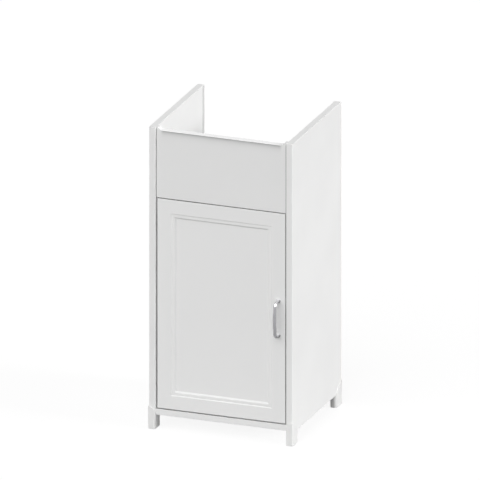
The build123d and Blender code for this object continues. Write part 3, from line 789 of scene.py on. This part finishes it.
def makeHandle():
    shape = handleShape
    handleX = doorHigh.x - shape["fromDoorEdge"]
    middleZ = (doorLow.z + doorHigh.z) / 2
    halfSpan = shape["holeSpacing"] / 2
    bendY = doorLow.y - shape["reach"] + shape["midThick"] / 2 + shape["bow"]
    neckEnd = bendY + shape["bendRadius"]
    centre = Vector((handleX, doorLow.y, middleZ + halfSpan))
    clearSelection()
    bpy.ops.mesh.primitive_circle_add(
        vertices=shape["sides"], radius=shape["footRadius"], fill_type="NGON",
        location=centre, rotation=(math.pi / 2, 0, 0),
    )
    handle = bpy.context.object
    settle(handle)
    startEdit(handle)
    bpy.ops.mesh.select_all(action="SELECT")
    # foot: a short lip, then a flare drawn in to the oval neck
    flare = [(shape["footLip"], 1.0, 1.0)]
    for step in range(1, shape["footSteps"] + 1):
        share = step / shape["footSteps"]
        ease = math.sin(share * math.pi / 2) ** shape["footEase"]
        wide = shape["footRadius"] + (shape["endWidth"] / 2 - shape["footRadius"]) * ease
        tall = shape["footRadius"] + (shape["endThick"] / 2 - shape["footRadius"]) * ease
        flare.append((
            shape["footLip"] + share * (shape["footHeight"] - shape["footLip"]),
            wide / shape["footRadius"],
            tall / shape["footRadius"],
        ))
    flare.append((doorLow.y - neckEnd, flare[-1][1], flare[-1][2]))
    rings = [(0.0, 1.0, 1.0)] + flare
    centre = growFoot(centre, rings)
    bpy.ops.mesh.spin(
        steps=shape["bendSteps"], angle=-math.pi / 2, axis=(1, 0, 0),
        center=(handleX, neckEnd, centre.z - shape["bendRadius"]),
    )
    # bar: swells forwards and sideways to its middle
    halfBar = halfSpan - shape["bendRadius"]
    centre = Vector((handleX, bendY, middleZ + halfBar))
    section = (shape["endWidth"], shape["endThick"], 0.0)
    for step in range(1, shape["barSteps"] + 1):
        swell = (1 - math.cos(2 * math.pi * step / shape["barSteps"])) / 2
        wide = shape["endWidth"] + (shape["midWidth"] - shape["endWidth"]) * swell
        thick = shape["endThick"] + (shape["midThick"] - shape["endThick"]) * swell
        push = (0, (section[2] - swell) * shape["bow"], -2 * halfBar / shape["barSteps"])
        centre = growRing(centre, push, (wide / section[0], thick / section[1], 1))
        section = (wide, thick, swell)
    bpy.ops.mesh.spin(
        steps=shape["bendSteps"], angle=-math.pi / 2, axis=(1, 0, 0),
        center=(handleX, neckEnd, centre.z),
    )
    growFoot(Vector((handleX, neckEnd, middleZ - halfSpan)), rings[::-1])
    endEdit()
    closeSeams(handle, shape["seam"])
    smoothByAngle(handle, shape["smoothAngle"])
    standIn(handle, "bowHandle", "door_handle", "door")


makeHandle()
print("handle made")


# pieces that keep their CAD form with softened edges

softEdges = {
    "apron_edge_trim": {"name": "edgeTrim", "steps": 3},
    "foot_front_left": {"name": "footFrontLeft", "steps": 2},
    "foot_front_right": {"name": "footFrontRight", "steps": 2},
    "foot_rear_left": {"name": "footRearLeft", "steps": 2},
    "foot_rear_right": {"name": "footRearRight", "steps": 2},
}
edgeRounds = {
    "all": 0.0005,
    "rim": 0.0021,            # outer rim of the shoe, above the foot itself
    "rimSteps": 5,
    "corner": 0.0090,         # uprights of a foot that lie under the cabinet
    "endCorner": 0.0050,      # inner upright at the front or the back of the cabinet
    "cornerSides": 96,
    "spare": 0.002,           # the cutters stand this far over the foot
    "seam": 0.00001,          # points closer than this are joined
    "flatAngle": 1,           # degrees: faces that meet flatter than this become one
    "bevelAngle": 40,         # edges sharper than this are softened
    "smoothAngle": 30,
}


def roundUprights(piece, low, high):
    # every upright of a foot but the one in the corner of the cabinet is well rounded
    spare = edgeRounds["spare"]
    cutters = []
    for x, inX in ((low.x, 1), (high.x, -1)):
        for y, inY in ((low.y, 1), (high.y, -1)):
            atSide = x * inX < 0
            atEnd = y * inY < 0
            if atSide and atEnd:
                continue
            radius = edgeRounds["endCorner"] if atEnd else edgeRounds["corner"]
            corner = (x - inX * spare, y - inY * spare, low.z - spare)
            centre = (x + inX * radius, y + inY * radius, high.z + spare)
            lowest = [min(pair) for pair in zip(corner, centre)]
            highest = [max(pair) for pair in zip(corner, centre)]
            cutter = addBlock("cornerCutter", lowest, highest)
            foot = (centre[0], centre[1], low.z - 2 * spare)
            length = high.z - low.z + 4 * spare
            rod = addRod("cornerRod", foot, (0, 0, 1), radius, length, edgeRounds["cornerSides"])
            cutAway(cutter, [rod])
            cutters.append(cutter)
    cutAway(piece, cutters)


def rollRim(piece, low, high):
    # rounds the upper rim of the shoe on the two outer faces of a foot
    side = high.x if high.x > 0 else low.x
    face = high.y if high.y > 0 else low.y

    def onRim(point):
        outer = abs(point.x - side) < near or abs(point.y - face) < near
        return outer and point.z > sideLow.z + near

    def isRim(a, b):
        return onRim(a) and onRim(b) and abs(a.x - b.x) + abs(a.y - b.y) > near

    pickEdges(piece, isRim)
    bpy.ops.mesh.bevel(
        offset=edgeRounds["rim"], segments=edgeRounds["rimSteps"], affect="EDGES", clamp_overlap=True
    )
    endEdit()


def softenEdges(node, shape):
    clearSelection()
    source = frame["nodes"][node]
    piece = bpy.data.objects.new(shape["name"], source.data.copy())
    scene.collection.objects.link(piece)
    startEdit(piece)
    bpy.ops.mesh.select_all(action="SELECT")
    bpy.ops.mesh.remove_doubles(threshold=edgeRounds["seam"])
    bpy.ops.mesh.dissolve_limited(angle_limit=math.radians(edgeRounds["flatAngle"]))
    endEdit()
    if node.startswith("foot"):
        low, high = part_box(node)
        rollRim(piece, low, high)
        roundUprights(piece, low, high)
    bevel = piece.modifiers.new("soften", "BEVEL")
    bevel.width = edgeRounds["all"]
    bevel.segments = shape["steps"]
    bevel.limit_method = "ANGLE"
    bevel.angle_limit = math.radians(edgeRounds["bevelAngle"])
    applyModifiers(piece)
    smoothByAngle(piece, edgeRounds["smoothAngle"])
    keepFlat(piece)
    standIn(piece, shape["name"], node, "carcass")


for nodeName, shape in softEdges.items():
    softenEdges(nodeName, shape)
print("soft edges made")


# screws with domed heads and cross recesses, one master copied to every place of a node

screwShape = {
    "headSides": 32,
    "shankSides": 20,
    "domeShare": 0.45,        # part of the head height that is rounded off
    "domeSteps": 4,
    "slotLength": 0.62,       # shares of the head radius
    "slotWidth": 0.11,
    "slotFloor": 0.45,        # shares of the head height
    "slotTop": 2.0,
    "tipShare": 0.75,         # taper at the tip, as a share of the shank radius
    "endShare": 0.99,         # points further out than this share of a rod are its end
    "seam": 0.000001,         # points closer than this are joined
    "smoothAngle": 32,
}


def makeScrewMaster(headRadius, headHeight, shankRadius, shankLength):
    # stands on its head plane: head upwards, shank downwards
    shape = screwShape
    head = addRod("screwHead", (0, 0, 0), (0, 0, 1), headRadius, headHeight, shape["headSides"])
    rim = headHeight * shape["endShare"]
    pickEdges(head, lambda a, b: a.z > rim and b.z > rim)
    dome = headHeight * shape["domeShare"]
    bpy.ops.mesh.bevel(offset=dome, segments=shape["domeSteps"], affect="EDGES")
    endEdit()
    reach = headRadius * shape["slotLength"]
    thin = headRadius * shape["slotWidth"]
    floor = headHeight * shape["slotFloor"]
    top = headHeight * shape["slotTop"]
    cutAway(head, [
        addBlock("slotCutter", (-reach, -thin, floor), (reach, thin, top)),
        addBlock("slotCutter", (-thin, -reach, floor), (thin, reach, top)),
    ])
    shank = addRod("screwShank", (0, 0, 0), (0, 0, -1), shankRadius, shankLength, shape["shankSides"])
    tip = -shankLength * shape["endShare"]
    pickEdges(shank, lambda a, b: a.z < tip and b.z < tip)
    bpy.ops.mesh.bevel(offset=shankRadius * shape["tipShare"], segments=1, affect="EDGES")
    endEdit()
    takeUp(head)
    shank.select_set(True)
    bpy.ops.object.join()
    return head


def placeScrews(node, name, body, heading, places, sizes):
    # places are the points where the head meets the piece below it
    master = makeScrewMaster(*sizes)
    turn = Vector((0, 0, 1)).rotation_difference(Vector(heading)).to_euler()
    copies = []
    for place in places:
        takeUp(master)
        bpy.ops.object.duplicate()
        copy = bpy.context.object
        copy.location = place
        copy.rotation_euler = turn
        settle(copy)
        copies.append(copy)
    bpy.data.objects.remove(master, do_unlink=True)
    takeUp(copies[0])
    for copy in copies:
        copy.select_set(True)
    bpy.ops.object.join()
    screws = bpy.context.object
    closeSeams(screws, screwShape["seam"])
    smoothByAngle(screws, screwShape["smoothAngle"])
    standIn(screws, name, node, body)


def middleOf(node):
    low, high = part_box(node)
    return (low + high) / 2


hingeLevels = [middleOf("hinge_plate_upper").z, middleOf("hinge_plate_lower").z]
screwSizes = {
    "headRadius": 0.0036,
    "headHeight": 0.0022,
    "shankRadius": 0.0020,
    "armHeadHeight": 0.0020,     # the arm screws have flatter heads on thicker shanks
    "armShankRadius": 0.0022,
    "handleHeadRadius": 0.0055,
    "plateRow": 0.016,           # half the distance between the screws of a plate
    "cupRow": 0.024,
    "footRow": 0.0122,           # from the edges of a foot
}
headRadius = screwSizes["headRadius"]
headHeight = screwSizes["headHeight"]
shankRadius = screwSizes["shankRadius"]

low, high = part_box("hinge_plate_screws")
row = screwSizes["plateRow"]
placeScrews(
    "hinge_plate_screws", "plateScrews", "carcass", (1, 0, 0),
    [
        (high.x - headHeight, (low.y + high.y) / 2, z + side)
        for z in hingeLevels for side in (-row, row)
    ],
    (headRadius, headHeight, shankRadius, high.x - low.x - headHeight),
)
low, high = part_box("hinge_cup_screws")
row = screwSizes["cupRow"]
placeScrews(
    "hinge_cup_screws", "cupScrews", "door", (0, 1, 0),
    [
        ((low.x + high.x) / 2, high.y - headHeight, z + side)
        for z in hingeLevels for side in (-row, row)
    ],
    (headRadius, headHeight, shankRadius, high.y - low.y - headHeight),
)
low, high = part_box("hinge_arm_screws")
armHead = screwSizes["armHeadHeight"]
placeScrews(
    "hinge_arm_screws", "armScrews", "carcass", (1, 0, 0),
    [(high.x - armHead, y, z) for z in hingeLevels for y in (low.y + headRadius, high.y - headRadius)],
    (headRadius, armHead, screwSizes["armShankRadius"], high.x - low.x - armHead),
)
low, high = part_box("door_stop_screws")
placeScrews(
    "door_stop_screws", "stopScrews", "carcass", (-1, 0, 0),
    [(low.x + headHeight, (low.y + high.y) / 2, z) for z in (low.z + headRadius, high.z - headRadius)],
    (headRadius, headHeight, shankRadius, high.x - low.x - headHeight),
)
low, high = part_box("handle_screws")
wideHead = screwSizes["handleHeadRadius"]
placeScrews(
    "handle_screws", "handleScrews", "door", (0, 1, 0),
    [((low.x + high.x) / 2, high.y - headHeight, z) for z in (low.z + wideHead, high.z - wideHead)],
    (wideHead, headHeight, shankRadius, high.y - low.y - headHeight),
)
low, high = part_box("foot_screws")
footRows = []
for footName in ("foot_front_left", "foot_rear_left"):
    footLow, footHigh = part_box(footName)
    footRows += [footLow.y + screwSizes["footRow"], footHigh.y - screwSizes["footRow"]]
placeScrews(
    "foot_screws", "footScrews", "carcass", (0, 0, -1),
    [(x, y, low.z + headHeight) for x in (low.x + headRadius, high.x - headRadius) for y in footRows],
    (headRadius, headHeight, shankRadius, high.z - low.z - headHeight),
)
print("screws made")


# camera: a parallel view that holds the front top corner of the right side where the photo has it

cameraPlan = {
    "azimuth": 20.70,
    "elevation": 19.44,
    "span": 1.2524,           # width of the picture at the object
    "cornerPixel": (292.4, 144.6),
    "picture": 480,
    "distance": 4.0,
}


def directionTo(azimuth, elevation):
    # from the object towards a camera or lamp; azimuth 0 is straight in front, 90 on the right
    turn = math.radians(azimuth)
    lift = math.radians(elevation)
    return Vector((math.sin(turn) * math.cos(lift), -math.cos(turn) * math.cos(lift), math.sin(lift)))


def placeCamera():
    plan = cameraPlan
    back = directionTo(plan["azimuth"], plan["elevation"])
    right = Vector((-back.y, back.x, 0)).normalized()
    upward = back.cross(right)
    corner = Vector((sideHigh.x, sideLow.y, sideHigh.z))
    metre = plan["span"] / plan["picture"]
    across = (plan["cornerPixel"][0] - plan["picture"] / 2) * metre
    above = (plan["picture"] / 2 - plan["cornerPixel"][1]) * metre
    target = corner - right * across - upward * above
    data = bpy.data.cameras.new("photoCamera")
    data.type = "ORTHO"
    data.ortho_scale = plan["span"]
    camera = bpy.data.objects.new("photoCamera", data)
    scene.collection.objects.link(camera)
    camera.location = target + back * plan["distance"]
    camera.rotation_euler = (-back).to_track_quat("-Z", "Y").to_euler()
    scene.camera = camera


placeCamera()


# light: a pale surround, a broad key lamp high in front and a soft lamp low on the right

studioLight = {
    "surround": 0.38,
    "zenith": 0.10,           # share of the surround that is left straight above
    "zenithSpan": (0.40, 0.80),  # upward part of the direction over which it fades
    "rightShare": 0.80,       # share that is left on the right, where the side lamp stands
    "rightSpan": (0.15, 0.85),
    "lamps": {
        "keyLamp": {"azimuth": -10.0, "elevation": 44.0, "strength": 2.035, "angle": 64.0},
        "sideLamp": {"azimuth": 92.0, "elevation": 20.0, "strength": 1.965, "angle": 18.0},
    },
    "floorSize": 30.0,
    "floorTone": (0.50, 0.50, 0.50),
    "floorShadow": 0.15,      # how much of the shadow the floor shows
    "floorDim": 0.75,         # part of that which the floor's own white gives up
}


def seenDirectly(tree):
    # 1 for camera, mirror and glass rays, 0 for light that falls on the object
    path = tree.nodes.new("ShaderNodeLightPath")
    mirror = calc(tree, "MAXIMUM", path.outputs["Is Camera Ray"], path.outputs["Is Glossy Ray"])
    return calc(tree, "MAXIMUM", mirror, path.outputs["Is Transmission Ray"])


def lightStudio():
    plan = studioLight
    world = bpy.data.worlds.new("whiteSurround")
    scene.world = world
    world.use_nodes = True
    tree = world.node_tree
    glow = tree.nodes["Background"]
    glow.inputs["Color"].default_value = (1, 1, 1, 1)
    split = addNode(tree, "ShaderNodeSeparateXYZ")
    tree.links.new(addNode(tree, "ShaderNodeTexCoord").outputs["Generated"], split.inputs["Vector"])
    above = plan["surround"] * plan["zenith"]
    dome = spread(tree, split.outputs["Z"], *plan["zenithSpan"], plan["surround"], above)
    right = spread(tree, split.outputs["X"], *plan["rightSpan"], 1.0, plan["rightShare"])
    dome = calc(tree, "MULTIPLY", dome, right)
    direct = seenDirectly(tree)
    fallen = calc(tree, "MULTIPLY", dome, calc(tree, "SUBTRACT", 1.0, direct))
    tree.links.new(calc(tree, "ADD", fallen, direct), glow.inputs["Strength"])

    for name, lampPlan in plan["lamps"].items():
        data = bpy.data.lights.new(name, "SUN")
        data.energy = lampPlan["strength"]
        data.angle = math.radians(lampPlan["angle"])
        lamp = bpy.data.objects.new(name, data)
        scene.collection.objects.link(lamp)
        towards = directionTo(lampPlan["azimuth"], lampPlan["elevation"])
        lamp.rotation_euler = towards.to_track_quat("Z", "Y").to_euler()

    clearSelection()
    bpy.ops.mesh.primitive_plane_add(size=plan["floorSize"])
    floor = bpy.context.object
    floor.name = "paleFloor"
    finish, tree, shader = newFinish("paleFloor")
    tree.nodes.remove(shader)
    matt = addNode(tree, "ShaderNodeBsdfDiffuse", Color=(*plan["floorTone"], 1))
    faint = addNode(tree, "ShaderNodeBsdfDiffuse", Color=(*[plan["floorShadow"]] * 3, 1))
    white = addNode(tree, "ShaderNodeEmission", Strength=1 - plan["floorShadow"] * plan["floorDim"])
    shown = tree.nodes.new("ShaderNodeAddShader")
    tree.links.new(faint.outputs[0], shown.inputs[0])
    tree.links.new(white.outputs[0], shown.inputs[1])
    choose = tree.nodes.new("ShaderNodeMixShader")
    tree.links.new(seenDirectly(tree), choose.inputs[0])
    tree.links.new(matt.outputs[0], choose.inputs[1])
    tree.links.new(shown.outputs[0], choose.inputs[2])
    tree.links.new(choose.outputs[0], tree.nodes["Material Output"].inputs["Surface"])
    floor.data.materials.append(finish)


lightStudio()
print("camera and light placed")

clearSelection()
